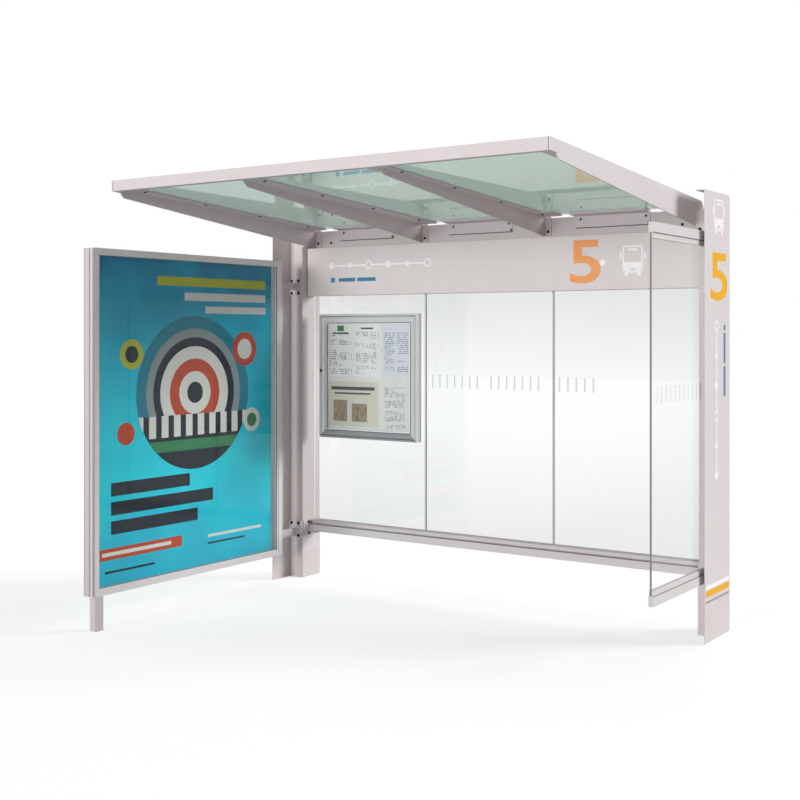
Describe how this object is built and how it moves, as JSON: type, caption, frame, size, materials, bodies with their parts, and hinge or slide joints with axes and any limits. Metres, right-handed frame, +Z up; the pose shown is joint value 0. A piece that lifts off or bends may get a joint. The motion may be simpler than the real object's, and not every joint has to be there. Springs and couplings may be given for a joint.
{
  "type": "bus shelter",
  "caption": "Open bus shelter with a glazed back wall, a cantilevered tinted glass roof, a short glass return, a poster case on arms and a notice case.",
  "frame": {"origin": "on the ground, in the middle of the footprint", "axes": "+X along the shelter from the poster case to the return, +Y from the road side to the back wall, +Z up"},
  "size_m": [2.82, 1.81, 2.319],
  "materials": {
    "post_metal": "warm light grey powder coat, satin",
    "totem_metal": "warm light grey powder coat with printed signs",
    "header_metal": "warm grey powder coat with printed signs",
    "rail_metal": "light grey powder coat, satin",
    "roof_metal": "warm light grey powder coat, satin",
    "case_metal": "satin anodised",
    "notice_metal": "satin anodised",
    "wall_glass": "clear toughened glass",
    "roof_glass": "green tinted toughened glass",
    "case_glass": "clear toughened glass",
    "glass_joint": "grey joint profile",
    "board": "white backing board"
  },
  "bodies": {
    "frame": {"back_beam": "post_metal", "bottom_rail": "rail_metal", "case_arm_lower": "post_metal", "case_arm_upper": "post_metal", "case_board": "board", "case_bottom_bar": "case_metal", "case_front_bar": "case_metal", "case_leg": "post_metal", "case_outer_glass": "case_glass", "case_rear_bar": "case_metal", "case_top_bar": "case_metal", "front_fascia": "roof_metal", "glass_clamps": "rail_metal", "glass_joints": "glass_joint", "header_back": "header_metal", "header_panel": "header_metal", "left_plate": "post_metal", "left_post": "post_metal", "left_rafter": "roof_metal", "middle_rafter_1": "roof_metal", "middle_rafter_2": "roof_metal", "notice_board": "board", "notice_case": "notice_metal", "panel_clamp_1": "roof_metal", "panel_clamp_2": "roof_metal", "panel_clamp_3": "roof_metal", "rail_brackets": "rail_metal", "return_bottom_rail": "rail_metal", "return_glass": "wall_glass", "return_top_rail": "rail_metal", "right_post": "post_metal", "right_rafter": "roof_metal", "roof_glass_1": "roof_glass", "roof_glass_2": "roof_glass", "roof_glass_3": "roof_glass", "totem_plate": "totem_metal", "wall_glass_1": "wall_glass", "wall_glass_2": "wall_glass", "wall_glass_3": "wall_glass"},
    "poster_door": {"poster_door_stiles": "case_metal", "poster_door_rails": "case_metal", "poster_door_glass": "case_glass"},
    "notice_door": {"notice_door_stiles": "notice_metal", "notice_door_rails": "notice_metal", "notice_door_glass": "case_glass"}
  },
  "joints": [
    {"name": "poster_door_hinge", "type": "hinge", "parent": "frame", "child": "poster_door", "pos_m": [-1.293, -0.905, 1.071], "axis": [0, 0, -1], "range_deg": [0, 90]},
    {"name": "notice_door_hinge", "type": "hinge", "parent": "frame", "child": "notice_door", "pos_m": [-0.474, 0.784, 1.263], "axis": [0, 0, 1], "range_deg": [0, 100]}
  ]
}
